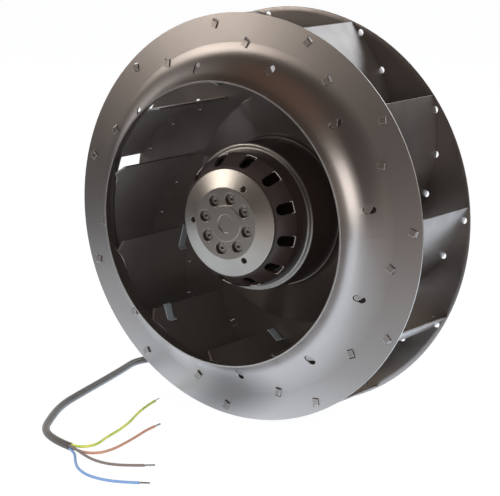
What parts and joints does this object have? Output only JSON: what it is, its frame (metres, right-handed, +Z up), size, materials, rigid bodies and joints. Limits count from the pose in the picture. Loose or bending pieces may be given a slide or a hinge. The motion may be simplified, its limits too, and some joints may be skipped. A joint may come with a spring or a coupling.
{
  "type": "plug fan",
  "caption": "Motorised plug fan: backward-curved sheet-steel centrifugal impeller on an external-rotor motor, with an inlet eye, folded blade tabs and a four-core lead.",
  "frame": {"origin": "centre of the four mounting holes on the motor flange's rear face, on the fan's axis", "axes": "+Y along the axis away from the inlet, out of the mounting face; +Z up as pictured; +X to the right as seen from the inlet"},
  "size_m": [0.4228, 0.3882, 0.404],
  "materials": {
    "coated_sheet_steel": "satin powder coat",
    "spring_steel": "satin",
    "black_casting": "satin",
    "grey_disc": "satin",
    "zinc_steel": "satin",
    "core_iron": "satin",
    "cage_aluminium": "satin",
    "flange_aluminium": "cast",
    "shaft_steel": "ground",
    "bearing_steel": "polished",
    "cage_nylon": "matte",
    "black_plastic": "matte",
    "black_rubber": "matte",
    "winding_copper": "varnished",
    "insulator_plastic": "matte",
    "sheath_rubber": "matte",
    "core_green_yellow": "satin",
    "core_brown": "satin",
    "core_black": "satin",
    "core_blue": "satin",
    "tinned_copper": "satin"
  },
  "bodies": {
    "stator": {"stator_flange": "flange_aluminium", "rear_bore_cap": "black_plastic", "cable_strain_relief": "black_rubber", "stator_core": "core_iron", "stator_windings": "winding_copper", "rear_insulator": "insulator_plastic", "front_insulator": "insulator_plastic", "thermal_cutout": "black_plastic", "rear_bearing_outer_ring": "bearing_steel", "front_bearing_outer_ring": "bearing_steel", "rear_bearing_shields": "bearing_steel", "front_bearing_shields": "bearing_steel", "preload_spring": "spring_steel", "cable_sheath": "sheath_rubber", "conductor_earth": "core_green_yellow", "conductor_brown": "core_brown", "conductor_black": "core_black", "conductor_blue": "core_blue", "conductor_end_sleeves": "tinned_copper"},
    "impeller": {"front_shroud": "coated_sheet_steel", "back_plate": "coated_sheet_steel", "blade_01": "coated_sheet_steel", "blade_02": "coated_sheet_steel", "blade_03": "coated_sheet_steel", "blade_04": "coated_sheet_steel", "blade_05": "coated_sheet_steel", "blade_06": "coated_sheet_steel", "blade_07": "coated_sheet_steel", "blade_08": "coated_sheet_steel", "blade_09": "coated_sheet_steel", "blade_10": "coated_sheet_steel", "blade_11": "coated_sheet_steel", "balance_clips": "spring_steel", "rotor_shell": "black_casting", "hub_disc": "grey_disc", "hub_screws": "zinc_steel", "rotor_core": "core_iron", "rotor_cage": "cage_aluminium", "shaft": "shaft_steel", "shaft_retaining_ring": "spring_steel", "rear_bearing_inner_ring": "bearing_steel", "front_bearing_inner_ring": "bearing_steel"},
    "front_ball_set": {"front_bearing_balls": "bearing_steel", "front_bearing_cage": "cage_nylon"},
    "rear_ball_set": {"rear_bearing_balls": "bearing_steel", "rear_bearing_cage": "cage_nylon"}
  },
  "joints": [
    {"name": "impeller_spin", "type": "hinge", "parent": "stator", "child": "impeller", "pos_m": [0, -0.06, 0], "axis": [0, -1, 0], "continuous": true},
    {"name": "front_ball_roll", "type": "hinge", "parent": "stator", "child": "front_ball_set", "pos_m": [0, -0.0925, 0], "axis": [0, -1, 0], "continuous": true},
    {"name": "rear_ball_roll", "type": "hinge", "parent": "stator", "child": "rear_ball_set", "pos_m": [0, -0.0135, 0], "axis": [0, -1, 0], "continuous": true}
  ],
  "couplings": [
    {"joint": "front_ball_roll", "follows": "impeller_spin", "ratio": 0.381},
    {"joint": "rear_ball_roll", "follows": "impeller_spin", "ratio": 0.381}
  ]
}
